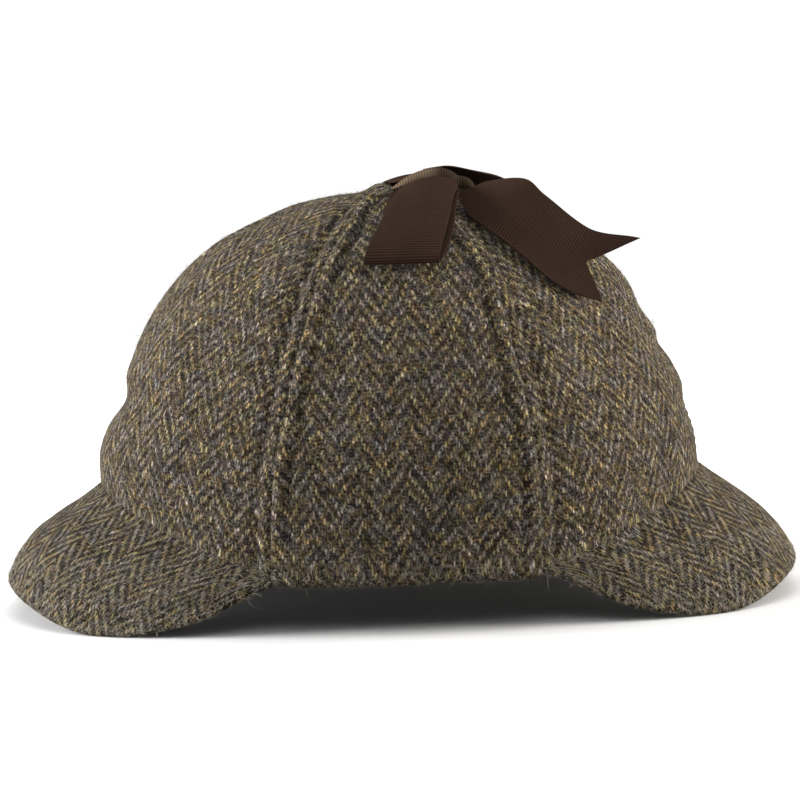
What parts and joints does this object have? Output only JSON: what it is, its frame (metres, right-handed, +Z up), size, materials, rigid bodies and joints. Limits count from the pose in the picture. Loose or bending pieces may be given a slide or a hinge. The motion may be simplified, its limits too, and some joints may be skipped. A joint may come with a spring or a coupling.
{
  "type": "deerstalker hat",
  "caption": "Soft deerstalker hat of herringbone tweed with a peak at front and back, ear flaps folded up over the sides and their ribbons tied in a bow on top.",
  "frame": {"origin": "on the floor, under the middle of the hat", "axes": "+X from the front peak to the back peak, +Y to the hat's right side, +Z up"},
  "size_m": [0.276, 0.175, 0.1503],
  "materials": {
    "tweed": "matte brown and olive herringbone wool tweed",
    "ribbon": "dark brown ribbed grosgrain ribbon"
  },
  "bodies": {
    "root": {"crown_panel_front_left": "tweed", "crown_panel_side_left": "tweed", "crown_panel_back_left": "tweed", "crown_panel_back_right": "tweed", "crown_panel_side_right": "tweed", "crown_panel_front_right": "tweed", "peak_front": "tweed", "peak_back": "tweed", "ear_flap_left": "tweed", "ear_flap_right": "tweed", "tie_left": "ribbon", "tie_right": "ribbon", "bow_knot": "ribbon", "bow_loop_left": "ribbon", "bow_loop_right": "ribbon", "bow_tail_left": "ribbon", "bow_tail_right": "ribbon"}
  },
  "joints": []
}
